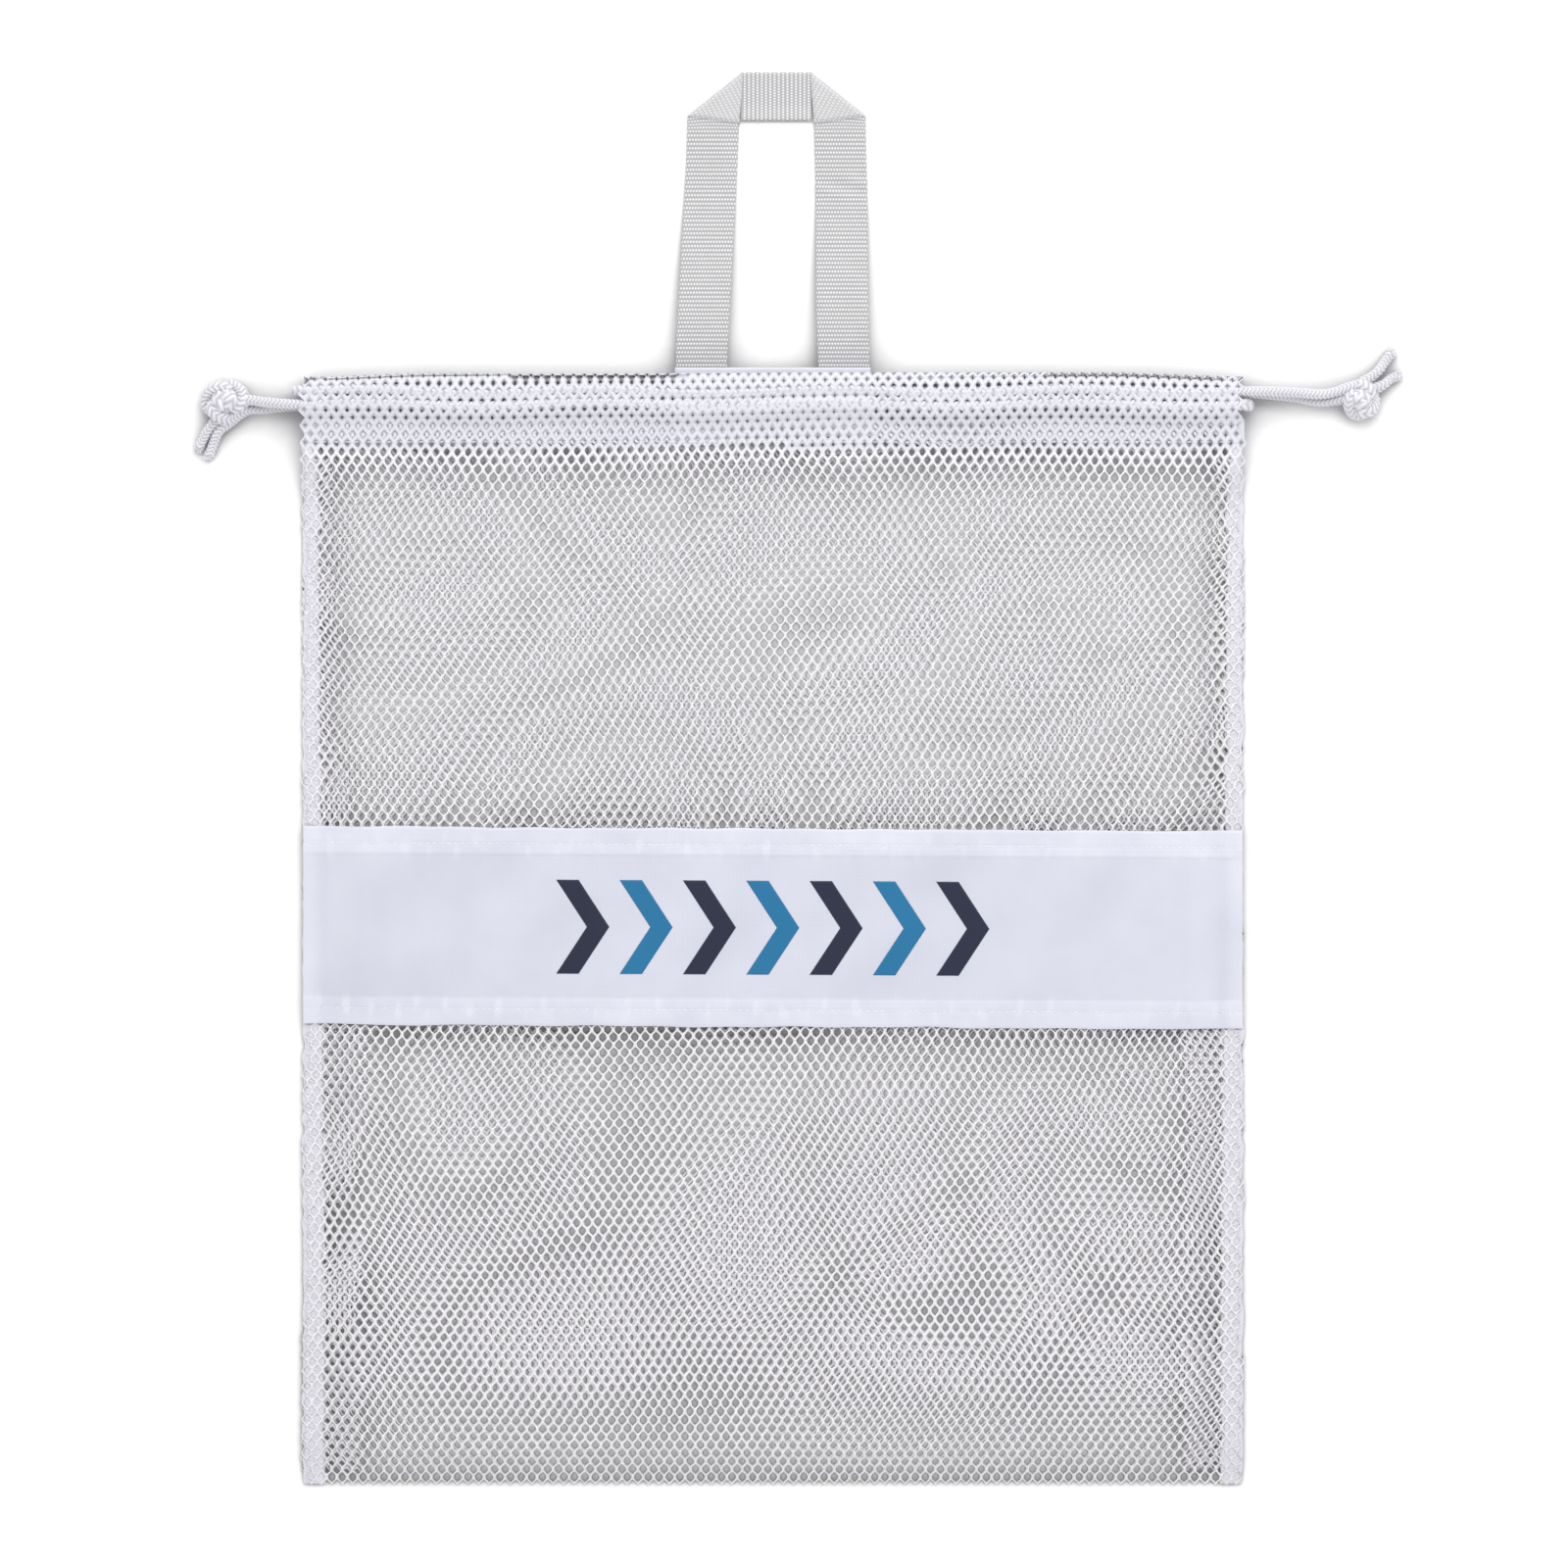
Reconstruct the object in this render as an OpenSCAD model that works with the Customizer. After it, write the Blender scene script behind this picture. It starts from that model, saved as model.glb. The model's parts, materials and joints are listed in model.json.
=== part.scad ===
// Mesh drawstring laundry bag with a webbing handle, lying flat on its back.
// X runs along the mouth, Y from the bottom fold to the handle, Z up through the thickness.
// The origin is under the middle of the bag and its handle, on the surface they lie on.

/* [Bag] */
// Width of the bag over its side seams
bag_w = 463; // [420:1:520]
// Height of the bag from the bottom fold to the top of the hem
bag_h = 546; // [480:1:620]
// Thickness of one layer of mesh
mesh_t = 0.6; // [0.5:0.1:0.8]
// Gap between the front and back hems at the mouth
mouth_gap = 4.6; // [4.6:0.1:8]
// Distance over which the front slopes down to a seam or to the bottom fold
slope_w = 22; // [16:1:28]
// Width of a side seam
seam_w = 9.5; // [7:0.5:12]
// Thickness of a side seam and of the bottom fold
seam_t = 3; // [2:0.1:4]

/* [Hem] */
// Depth of the hem from the top edge to its raw edge
hem_depth = 36; // [34:1:42]
// Clear height inside each hem tunnel
tunnel_h = 5.6; // [5.6:0.1:7]

/* [Cords] */
// Diameter of a drawcord
cord_d = 5; // [4:0.1:5]
// Distance of the left cord's centre below the top edge
left_drop = 16; // [15:0.5:17]
// Distance of the right cord's centre below the top edge
right_drop = 9.5; // [8:0.5:10]
// How far a cord's turn stands out past the side of the bag
turn_out = 4.5; // [3:0.5:6]

/* [Band] */
// Height of the plain woven band
band_h = 97; // [70:1:120]
// Distance from the top edge of the bag down to the band
band_drop = 223.5; // [180:0.5:260]
// Thickness of the band
band_t = 0.8; // [0.6:0.1:1.2]
// How far the band laps over the mesh above and below it
band_lap = 8; // [5:1:12]
// Width of one chevron of the print
chevron_w = 26; // [18:1:32]
// Number of chevrons in the print
chevron_n = 7; // [3:1:9]

/* [Handle] */
// Width of the webbing
strap_w = 25; // [20:1:30]
// Thickness of the webbing
strap_t = 1.2; // [1:0.1:1.6]
// Height of the handle above the top edge of the bag
handle_rise = 148; // [120:1:180]
// Width over the handle's legs at the hem
handle_base_w = 95; // [85:1:110]
// Width over the handle's legs at the top
handle_top_w = 87; // [80:1:95]
// Width of the patch that holds the strap ends
patch_w = 96; // [90:1:115]
// Height of the patch
patch_h = 39.5; // [36:0.5:44]
// Thickness of the patch
patch_t = 0.8; // [0.6:0.1:1]

/* [Hidden] */
$fn = 48;

// Levels along Y
total_l = bag_h + handle_rise;
y_bottom = -total_l / 2;
y_top = y_bottom + bag_h;
y_hem = y_top - hem_depth;
y_handle = total_l / 2;
y_fold = y_bottom + slope_w;
band_top = y_top - band_drop;
band_low = band_top - band_h;

// Levels along Z
hem_h = tunnel_h + 2 * mesh_t;
front_z = hem_h + mouth_gap;
front_top = front_z + mesh_t;

// Levels along X
half_w = bag_w / 2;
seam_x = half_w - seam_w;
side_x = seam_x - slope_w;
// The facings stop short of the cords' turns.
facing_x = half_w - 4.5;

// Hem section
hem_r = hem_h / 2;
hem_turn_y = y_top - hem_r;
hem_lap = 3;
hem_swell = 12;
rise_w = 30;

// Threads
thread_w = 0.8;
thread_t = 0.3;
hem_thread_in = 1.4;
band_thread_in = 8;
patch_thread_in = 3;
seam_thread_in = 1.5;

// Print
print_t = 0.2;
print_pitch = 31;
stroke_w = 11;
print_h = 46;

// Handle
hinge_y = y_top + 12;
// The moving loop starts past the hinge line, and the sewn ends stop short of it.
loop_gap = 1.2;
stub_gap = 1.6;
strap_in = 2;
mitre_x = 27;
mitre_y = 21.5;
fall_l = 88;

// Cord channels, turns and free ends
cord_r = cord_d / 2;
cord_low = hem_r;
cord_high = front_z + hem_r;
left_y = y_top - left_drop;
right_y = y_top - right_drop;
turn_r = (cord_high - cord_low) / 2;
turn_x = half_w + turn_out - cord_r - turn_r;
cord_sides = 10;
channel_steps = 8;
turn_steps = 7;
// Each strand's way from the hem to its knot, from the point where it leaves the channel
left_front_lead = [[0, 0, 0], [-9, 0.5, -1], [-18, 1.5, -3.5], [-27, 2.5, -6], [-34, 3, -7]];
left_back_lead = [[0, 0, 0], [-9, -0.5, 0], [-18, -1.5, 1], [-27, -2, 2], [-34, -2.5, 3]];
right_front_lead = [[0, 0, 0], [13, 0, -1.5], [26, -0.5, -4], [39, -1, -6], [52, -1.5, -7]];
right_back_lead = [[0, 0, 0], [13, -1, 0], [26, -2.5, 0.5], [39, -4.5, 1.5], [52, -7, 2.5]];
// The knots' middles, measured from the bag's side, the cord's line and the surface below
left_knot_at = [-37, 1.5, 8];
right_knot_at = [57, -4.5, 8];
knot_r = 7.5;
// The cut ends that leave each knot, measured from its middle
left_tail_a = [[-5, -6, -1], [-8, -12, -3.5], [-11, -17, -5], [-13.5, -21.5, -5.3]];
left_tail_b = [[0, -6, -1], [-3, -13, -3.5], [-6, -19, -5], [-8.5, -25.5, -5.3]];
right_tail_a = [[5, 6, -1], [9, 12, -3.5], [13, 18, -5], [17, 24.5, -5.3]];
right_tail_b = [[7, 1, -1], [12, 4, -3.5], [16, 8.5, -5], [19.5, 12.5, -5.3]];

WHITE_MESH = [0.93, 0.93, 0.94];
WHITE_CLOTH = [0.95, 0.95, 0.98];
WEBBING = [0.88, 0.88, 0.87];
THREAD = [0.97, 0.97, 0.99];
PRINT_DARK = [0.16, 0.18, 0.25];
PRINT_BLUE = [0.13, 0.48, 0.69];

// Smooth step from 0 to 1 as s goes from 0 to 1
function ease(s) = (1 - cos(180 * s)) / 2;

// A smooth line from one [along, height] point to another
function slope(from, to, steps = 8) = [
    for (i = [0 : steps]) [
        from[0] + (to[0] - from[0]) * i / steps,
        from[1] + (to[1] - from[1]) * ease(i / steps)
    ]
];

function mirrored(points) = [for (i = [len(points) - 1 : -1 : 0]) [-points[i][0], points[i][1]]];
function moved(points, by) = [for (p = points) p + by];
function reversed(points) = [for (i = [len(points) - 1 : -1 : 0]) points[i]];

// Draw a YZ outline along X, or an XZ outline along Y.
module along_x(from_x, to_x) {
    translate([from_x, 0, 0]) rotate([90, 0, 90]) linear_extrude(to_x - from_x) children();
}
module along_y(from_y, to_y) {
    translate([0, to_y, 0]) rotate([90, 0, 0]) linear_extrude(to_y - from_y) children();
}
module block(x, y, z) {
    translate([x[0], y[0], z[0]]) cube([x[1] - x[0], y[1] - y[0], z[1] - z[0]]);
}

// The sheet between a line and the same line lowered by t
module sheet_under(line, t) {
    polygon(concat(line, [for (p = reversed(line)) [p[0], p[1] - t]]));
}

// The bag's body as a solid that is smaller by inset all over: flat on top, sloping down to
// the side seams and the bottom fold, and rising again at the corners to meet the hem.
module bag_form(inset) {
    over = inset > 0 ? 1 : 0;
    top = front_top - inset;
    low = seam_t - inset;
    side = slope([side_x, top], [seam_x, low]);
    fold_r = seam_t / 2;
    fold = [
        for (a = [270 : -30 : 120])
            [y_bottom + fold_r, fold_r] + (fold_r - inset) * [cos(a), sin(a)]
    ];
    intersection() {
        union() {
            along_y(y_bottom, y_hem + over) {
                polygon(concat([[-seam_x, inset], [seam_x, inset]], reversed(side),
                    reversed(mirrored(side))));
            }
            along_x(inset - half_w, half_w - inset) {
                polygon(concat([[y_hem - rise_w, inset]],
                    slope([y_hem - rise_w, low], [y_hem, top]),
                    [[y_hem + over, top], [y_hem + over, inset]]));
            }
        }
        along_x(-half_w, half_w) {
            polygon(concat(fold, slope([y_bottom + fold_r, low], [y_fold, top]),
                [[y_hem + over, top], [y_hem + over, inset]]));
        }
    }
}

// The part of the body's shell that lies in a range of X and Y, above the back panel
module shell_part(x, y) {
    difference() {
        intersection() {
            bag_form(0);
            block(x, y, [0, front_top]);
        }
        bag_form(mesh_t);
        back_sheet(1);
    }
}
module back_sheet(under = 0) {
    block([-seam_x, seam_x], [y_bottom + seam_t / 2, y_hem + under], [-under, mesh_t]);
}

module back_panel() {
    color(WHITE_MESH) back_sheet();
}
module bottom_fold() {
    color(WHITE_MESH) shell_part([-side_x, side_x], [y_bottom, y_fold]);
}
module lower_front_panel() {
    color(WHITE_MESH) {
        block([-side_x, side_x], [y_fold, band_low + band_lap], [front_z, front_top]);
    }
}
module upper_front_panel() {
    color(WHITE_MESH) {
        block([-side_x, side_x], [band_top - band_lap, y_hem], [front_z, front_top]);
    }
}

module printed_band() {
    color(WHITE_CLOTH) {
        block([-side_x, side_x], [band_low, band_top], [front_top, front_top + band_t]);
    }
}
// The ends of the band lie on the sloping mesh and run out to the seams.
module band_side_ends() {
    line = concat(slope([side_x, front_top + band_t], [seam_x, seam_t + band_t]),
        [[half_w, seam_t + band_t]]);
    color(WHITE_CLOTH) {
        along_y(band_low, band_top) {
            sheet_under(line, band_t);
            sheet_under(mirrored(line), band_t);
        }
    }
}
// A plain row of chevrons
module band_print() {
    rise = front_top + band_t;
    for (i = [0 : chevron_n - 1]) {
        color(i % 2 == 0 ? PRINT_DARK : PRINT_BLUE) {
            translate([(i - (chevron_n - 1) / 2) * print_pitch, (band_top + band_low) / 2, rise]) {
                linear_extrude(print_t) {
                    polygon([
                        [-chevron_w / 2, print_h / 2],
                        [stroke_w - chevron_w / 2, print_h / 2],
                        [chevron_w / 2, 0],
                        [stroke_w - chevron_w / 2, -print_h / 2],
                        [-chevron_w / 2, -print_h / 2],
                        [chevron_w / 2 - stroke_w, 0]
                    ]);
                }
            }
        }
    }
}

// A side seam: both layers' edges rolled into a lip, with the mesh that slopes down to it
module side_seam(side) {
    far = side * half_w;
    near = side * side_x;
    lip = side * seam_x;
    color(WHITE_CLOTH) {
        shell_part([min(far, near), max(far, near)], [y_bottom, y_hem]);
        block([min(far, lip), max(far, lip)], [y_bottom, y_hem], [0, seam_t]);
    }
}
module left_side_seam() {
    side_seam(-1);
}
module right_side_seam() {
    side_seam(1);
}

// A hem's section: a flat layer, a layer that swells over the cords, and the turned top edge
function hem_swell_line(z) = concat([[y_hem, z + 2 * mesh_t]],
    slope([y_hem + hem_lap, z + 2 * mesh_t], [y_hem + hem_lap + hem_swell, z + hem_h]));
function hem_turn(z, r) = [
    for (a = [90 : -15 : -90]) [hem_turn_y + r * cos(a), z + hem_r + r * sin(a)]
];
module back_hem() {
    color(WHITE_CLOTH) {
        along_x(-half_w, half_w) {
            polygon(concat([[y_hem, mesh_t], [y_hem, 0]], reversed(hem_turn(0, hem_r)),
                hem_turn(0, hem_r - mesh_t)));
        }
    }
}
module back_hem_facing() {
    color(WHITE_MESH) {
        along_x(-facing_x, facing_x) {
            sheet_under(concat(hem_swell_line(0), [[hem_turn_y, hem_h]]), mesh_t);
        }
    }
}
module front_hem() {
    line = hem_swell_line(front_z);
    color(WHITE_CLOTH) {
        along_x(-half_w, half_w) {
            polygon(concat(line, hem_turn(front_z, hem_r),
                reversed(hem_turn(front_z, hem_r - mesh_t)),
                [for (p = reversed(line)) [p[0], p[1] - mesh_t]]));
        }
    }
}
module front_hem_facing() {
    color(WHITE_MESH) {
        block([-facing_x, facing_x], [y_hem, hem_turn_y], [front_z, front_top]);
    }
}

// Rows of thread
module thread_row(x, y, z) {
    color(THREAD) block(x, y, [z, z + thread_t]);
}
module front_hem_stitching() {
    y = y_hem + hem_thread_in;
    thread_row([-half_w, half_w], [y, y + thread_w], front_z + 2 * mesh_t);
}
module back_hem_stitching() {
    y = y_hem + hem_thread_in;
    thread_row([-facing_x, facing_x], [y, y + thread_w], 2 * mesh_t);
}
module band_top_stitching() {
    y = band_top - band_thread_in;
    thread_row([-side_x, side_x], [y, y + thread_w], front_top + band_t);
}
module band_bottom_stitching() {
    y = band_low + band_thread_in;
    thread_row([-side_x, side_x], [y - thread_w, y], front_top + band_t);
}
module seam_stitching(side) {
    x = side * (seam_x + seam_thread_in);
    thread_row([x - thread_w / 2, x + thread_w / 2], [y_bottom, band_low], seam_t);
    thread_row([x - thread_w / 2, x + thread_w / 2], [band_top, y_hem - rise_w], seam_t);
}
module left_seam_stitching() {
    seam_stitching(-1);
}
module right_seam_stitching() {
    seam_stitching(1);
}
module patch_stitching() {
    x = patch_w / 2 - patch_thread_in;
    y = [y_hem - 1 + patch_thread_in, y_hem - 1 + patch_h - patch_thread_in];
    z = hem_h + strap_t + patch_t;
    color(THREAD) {
        difference() {
            block([-x, x], y, [z, z + thread_t]);
            block([thread_w - x, x - thread_w], [y[0] + thread_w, y[1] - thread_w], [z - 1, z + 1]);
        }
    }
}

// The handle's outline, lying flat: two legs that lean in and a bar with folded corners
module handle_outline(from_y) {
    base = handle_base_w / 2;
    top = handle_top_w / 2;
    lean = (base - top) / (y_handle - mitre_y - y_top);
    out = base - lean * (from_y - y_top);
    corner_y = y_handle - mitre_y;
    bar_y = y_handle - strap_w;
    in_top = base - lean * (bar_y - y_top) - strap_w;
    right = [[out, from_y], [top, corner_y], [top - mitre_x, y_handle]];
    inner = [[in_top, bar_y], [out - strap_w, from_y]];
    difference() {
        polygon(concat(right, reversed(mirrored(reversed(right)))));
        polygon(concat(inner, [[strap_w - out, from_y - 1]], [[strap_w - out, from_y]],
            [[-in_top, bar_y]]));
    }
}
module handle_strap() {
    start = hinge_y + loop_gap;
    top = handle_top_w / 2;
    color(WEBBING) {
        intersection() {
            translate([0, 0, -1]) linear_extrude(front_z) handle_outline(start);
            along_x(-handle_base_w, handle_base_w) {
                sheet_under(concat(slope([start, hem_h + strap_t], [start + fall_l, strap_t]),
                    [[y_handle, strap_t]]), strap_t);
            }
        }
        // The webbing turns each corner in a fold, which doubles it there.
        for (s = [-1, 1]) {
            translate([0, 0, strap_t]) {
                linear_extrude(strap_t) {
                    polygon([
                        [s * top, y_handle - mitre_y],
                        [s * (top - mitre_x), y_handle],
                        [s * (top - mitre_x), y_handle - strap_w]
                    ]);
                }
            }
        }
    }
}
module handle_strap_ends() {
    end = hinge_y - stub_gap;
    inner = handle_base_w / 2 - strap_w;
    color(WEBBING) {
        for (x = [inner, -handle_base_w / 2]) {
            block([x, x + strap_w], [y_hem + strap_in, end], [hem_h, hem_h + strap_t]);
        }
    }
}
module handle_patch() {
    z = hem_h + strap_t;
    color(WHITE_CLOTH) {
        block([-patch_w / 2, patch_w / 2], [y_hem - 1, y_hem - 1 + patch_h], [z, z + patch_t]);
    }
}

// Sweep a round tube along points that never run straight along Y.
function unit(v) = v / norm(v);
function heading(route, i) =
    unit(route[min(i + 1, len(route) - 1)] - route[max(i - 1, 0)]);
function ring(at, along, aim) =
    let (u = unit(cross(along, aim)), v = cross(u, along))
    [for (k = [0 : cord_sides - 1])
        at + cord_r * (cos(360 * k / cord_sides) * u + sin(360 * k / cord_sides) * v)];
module tube(route, aim = [0, 1, 0]) {
    last = len(route) - 1;
    points = [for (i = [0 : last]) each ring(route[i], heading(route, i), aim)];
    sides = [
        for (i = [0 : last - 1], k = [0 : cord_sides - 1])
            let (a = i * cord_sides, next = (k + 1) % cord_sides)
            each [
                [a + k, a + next, a + cord_sides + next],
                [a + k, a + cord_sides + next, a + cord_sides + k]
            ]
    ];
    start = [for (k = [cord_sides - 1 : -1 : 0]) k];
    end = [for (k = [0 : cord_sides - 1]) last * cord_sides + k];
    polyhedron(points, concat([start], sides, [end]));
}

// One drawcord: from its knot through the front tunnel, round the far end of the hem, and back
// through the back tunnel to the knot. side is the side of the bag it is pulled from.
module drawcord(side, y, front_lead, back_lead) {
    exit = side * half_w;
    far = -side * turn_x;
    channel = [for (i = [1 : channel_steps - 1]) exit + (far - exit) * i / channel_steps];
    mid_z = (cord_high + cord_low) / 2;
    route = concat(
        reversed(moved(front_lead, [exit, y, cord_high])),
        [for (x = channel) [x, y, cord_high]],
        [for (i = [0 : turn_steps]) let (a = 90 - 180 * i / turn_steps)
            [far - side * turn_r * cos(a), y, mid_z + turn_r * sin(a)]],
        [for (x = reversed(channel)) [x, y, cord_low]],
        moved(back_lead, [exit, y, cord_low])
    );
    color(WHITE_CLOTH) tube(route);
}
// An overhand knot of both strands, and their two cut ends
module knot(at, tail_a, tail_b) {
    color(WHITE_CLOTH) {
        translate(at) {
            hull() {
                for (p = [[-3, 1.5, 0], [3, -1.5, 0], [0, 3, 0], [-1, -2.5, 0]]) {
                    translate(p) sphere(knot_r, $fn = 24);
                }
            }
            tube(tail_a, [0, 0, 1]);
            tube(tail_b, [0, 0, 1]);
        }
    }
}
module left_drawcord() {
    drawcord(-1, left_y, left_front_lead, left_back_lead);
}
module right_drawcord() {
    drawcord(1, right_y, right_front_lead, right_back_lead);
}
module left_knot() {
    knot([-half_w, left_y, 0] + left_knot_at, left_tail_a, left_tail_b);
}
module right_knot() {
    knot([half_w, right_y, 0] + right_knot_at, right_tail_a, right_tail_b);
}

back_panel();
bottom_fold();
lower_front_panel();
upper_front_panel();
printed_band();
band_side_ends();
band_print();
left_side_seam();
right_side_seam();
back_hem();
back_hem_facing();
front_hem();
front_hem_facing();
front_hem_stitching();
back_hem_stitching();
band_top_stitching();
band_bottom_stitching();
left_seam_stitching();
right_seam_stitching();
handle_strap_ends();
handle_patch();
patch_stitching();
handle_strap();
left_drawcord();
left_knot();
right_drawcord();
right_knot();
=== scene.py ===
import json
import math

import bpy
import numpy as np
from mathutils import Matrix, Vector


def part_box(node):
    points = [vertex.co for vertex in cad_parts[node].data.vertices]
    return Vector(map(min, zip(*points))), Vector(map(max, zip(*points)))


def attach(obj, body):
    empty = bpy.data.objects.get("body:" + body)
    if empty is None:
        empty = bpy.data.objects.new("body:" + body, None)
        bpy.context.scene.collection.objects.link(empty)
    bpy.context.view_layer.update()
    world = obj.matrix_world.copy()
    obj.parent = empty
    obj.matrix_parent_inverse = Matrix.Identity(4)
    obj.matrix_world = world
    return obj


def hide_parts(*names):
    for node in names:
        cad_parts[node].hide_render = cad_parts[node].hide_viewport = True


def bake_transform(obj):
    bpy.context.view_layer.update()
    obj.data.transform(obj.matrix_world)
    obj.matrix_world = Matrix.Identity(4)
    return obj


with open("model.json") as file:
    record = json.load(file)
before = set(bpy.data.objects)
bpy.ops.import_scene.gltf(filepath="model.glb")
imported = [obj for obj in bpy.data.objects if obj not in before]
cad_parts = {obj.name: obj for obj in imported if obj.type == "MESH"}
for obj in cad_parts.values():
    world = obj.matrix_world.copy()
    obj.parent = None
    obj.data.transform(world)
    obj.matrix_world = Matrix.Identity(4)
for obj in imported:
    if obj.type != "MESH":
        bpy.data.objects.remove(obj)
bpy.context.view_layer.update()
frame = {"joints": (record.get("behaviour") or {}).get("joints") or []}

# Everything below is worked out in millimetres in the part's frame; mesh_object() turns it into
# metres. A side is -1 or 1.
MM = 0.001
NAME = {-1: "left", 1: "right"}


def span(node):
    """Lowest and highest corner of a CAD node, in millimetres."""
    low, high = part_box(node)
    return np.array(low) / MM, np.array(high) / MM


# ---------------- sizes taken from the frame
HEM_LOW, HEM_HIGH = span("front_hem")
BAND_LOW, BAND_HIGH = span("printed_band")
PATCH_LOW, PATCH_HIGH = span("handle_patch")
STRAP_LOW, STRAP_HIGH = span("handle_strap")
STUB_LOW, STUB_HIGH = span("handle_strap_ends")
HALF_W = HEM_HIGH[0]
FACING_X = span("front_hem_facing")[1][0]
SEAM_X = span("back_panel")[1][0]
SIDE_X = span("upper_front_panel")[1][0]
Y_BOTTOM = span("left_side_seam")[0][1]
Y_FOLD = span("bottom_fold")[1][1]
Y_HEM, Y_TOP = HEM_LOW[1], HEM_HIGH[1]
FRONT_Z, FRONT_TOP = (corner[2] for corner in span("upper_front_panel"))
HEM_H = span("back_hem")[1][2]
SEAM_T = span("left_seam_stitching")[0][2]
HINGE = np.array(next(j["pos_m"] for j in frame["joints"] if j["name"] == "handle_swing")) / MM

# Cloth: yarn thickness, and the middle of the cloth at the seams and on top of the bag
CLOTH = FRONT_TOP - FRONT_Z
LOW_MID = SEAM_T - CLOTH / 2
HIGH_MID = FRONT_Z + CLOTH / 2
FOLD_R = 0.6
FOLD_Y = Y_BOTTOM + FOLD_R + CLOTH / 2
RISE_W = 30.0

# Net: half its width, pitch of the holes, corners of one tile and of its hole from the right
NET_X = HALF_W - 2.2
PITCH_X, PITCH_Y = 5.12, 4.03
TILE = np.array([(2.56, 0), (2.56, 0.48), (0, 3.55), (-2.56, 0.48),
                 (-2.56, 0), (-2.56, -0.48), (0, -3.55), (2.56, -0.48)])
HOLE = np.array([(1.68, 0), (1.3, 1.22), (0, 2.35), (-1.3, 1.22),
                 (-1.68, 0), (-1.3, -1.22), (0, -2.35), (1.3, -1.22)])

# Cords: the routes of part.scad, but the right tails and both knots lie up to 3 mm aside from there.
# The knot's curve takes the place of each list's point nearest to it.
CORD_D = 5.0
LEFT_Y, RIGHT_Y = Y_TOP - 16, Y_TOP - 9.5
CORDS_MIDDLE = (LEFT_Y + RIGHT_Y) / 2
CORD_LOW, CORD_HIGH = HEM_H / 2, FRONT_Z + HEM_H / 2
TURN_OUT = 4.5
LEFT_FRONT_LEAD = [(0, 0, 0), (-9, 0.5, -1), (-18, 1.5, -3.5), (-27, 2.5, -6), (-34, 3, -7)]
LEFT_BACK_LEAD = [(0, 0, 0), (-9, -0.5, 0), (-18, -1.5, 1), (-27, -2, 2), (-34, -2.5, 3)]
RIGHT_FRONT_LEAD = [(0, 0, 0), (13, 0, -1.5), (26, -0.5, -4), (39, -1, -6), (52, -1.5, -7)]
RIGHT_BACK_LEAD = [(0, 0, 0), (13, -1, 0), (26, -2.5, 0.5), (39, -4.5, 1.5), (52, -7, 2.5)]
CORD_Y = {-1: LEFT_Y, 1: RIGHT_Y}
KNOT_AT = {-1: np.array([-37, 1.0, 8]), 1: np.array([57, -3.0, 8])}
LEFT_TAIL_A = [(-5, -6, -1), (-8, -12, -3.5), (-11, -17, -5), (-13.5, -21.5, -5.3)]
LEFT_TAIL_B = [(0, -6, -1), (-3, -13, -3.5), (-6, -19, -5), (-8.5, -25.5, -5.3)]
RIGHT_TAIL_A = [(4, 7, -1), (7.5, 12.5, -3.5), (11.5, 17.5, -5), (15.5, 23, -5.3)]
RIGHT_TAIL_B = [(7, 2.5, -1), (11, 6.8, -3.5), (14.5, 9.8, -5), (19, 11.5, -5.3)]


# ---------------- small tools
def ease(s):
    """Smooth step from 0 to 1."""
    s = np.clip(s, 0, 1)
    return s * s * (3 - 2 * s)


def bell(distance, width):
    """A smooth bump, 1 at distance 0."""
    return np.exp(-(distance / width) ** 2)


def grid(rows, columns):
    return np.meshgrid(rows, columns, indexing="ij")


def unit(vectors):
    """The rows of vectors, each scaled to length 1."""
    return vectors / np.linalg.norm(vectors, axis=-1, keepdims=True)


def waves(x, y, seed, size, length):
    """A smooth, seeded ripple of about that size, with wavelengths of about that length."""
    r = np.random.default_rng(seed)
    total = 0
    for _ in range(7):
        angle, phase = r.uniform(0, math.tau, 2)
        k = math.tau / (length * r.uniform(0.6, 1.7))
        total = total + np.sin(k * (math.cos(angle) * x + math.sin(angle) * y) + phase)
    return total * size / 2.6


def mesh_object(name, verts, faces, material, body=None, walls=0, values=None,
                normals=None):
    """A mesh from vertices in millimetres and quads; the last walls faces are shaded flat, so a
    cut edge doesn't bend the shading beside it; values is an optional number per vertex. Faces
    sliced by [:, ::sign] turn inside out where sign is -1."""
    verts = np.asarray(verts, np.float64) * MM
    faces = np.asarray(faces, np.int32)
    mesh = bpy.data.meshes.new(name)
    mesh.vertices.add(len(verts))
    mesh.vertices.foreach_set("co", verts.astype(np.float32).ravel())
    mesh.loops.add(faces.size)
    mesh.loops.foreach_set("vertex_index", faces.ravel())
    mesh.polygons.add(len(faces))
    mesh.polygons.foreach_set("loop_start", np.arange(len(faces), dtype=np.int32) * faces.shape[1])
    mesh.polygons.foreach_set("use_smooth", np.arange(len(faces)) < len(faces) - walls)
    if values is not None:
        attribute = mesh.attributes.new("relief", "FLOAT", "POINT")
        attribute.data.foreach_set("value", np.asarray(values, np.float32))
    mesh.update(calc_edges=True)
    mesh.validate()
    if normals is not None:
        mesh.normals_split_custom_set_from_vertices(normals)
    mesh.materials.append(material)
    obj = in_scene(name, mesh)
    if body:
        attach(obj, body)
    return obj


def gather(obj):
    """Bakes the object's placement into its mesh."""
    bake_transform(obj)


def grid_faces(rows, columns, wrap=False):
    """Quads of a grid whose vertices run row by row."""
    row, c = np.indices((rows - 1, columns if wrap else columns - 1)).reshape(2, -1)
    near, d = row * columns, (c + 1) % columns
    return np.stack([near + c, near + d, near + columns + d, near + columns + c], 1)


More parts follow.
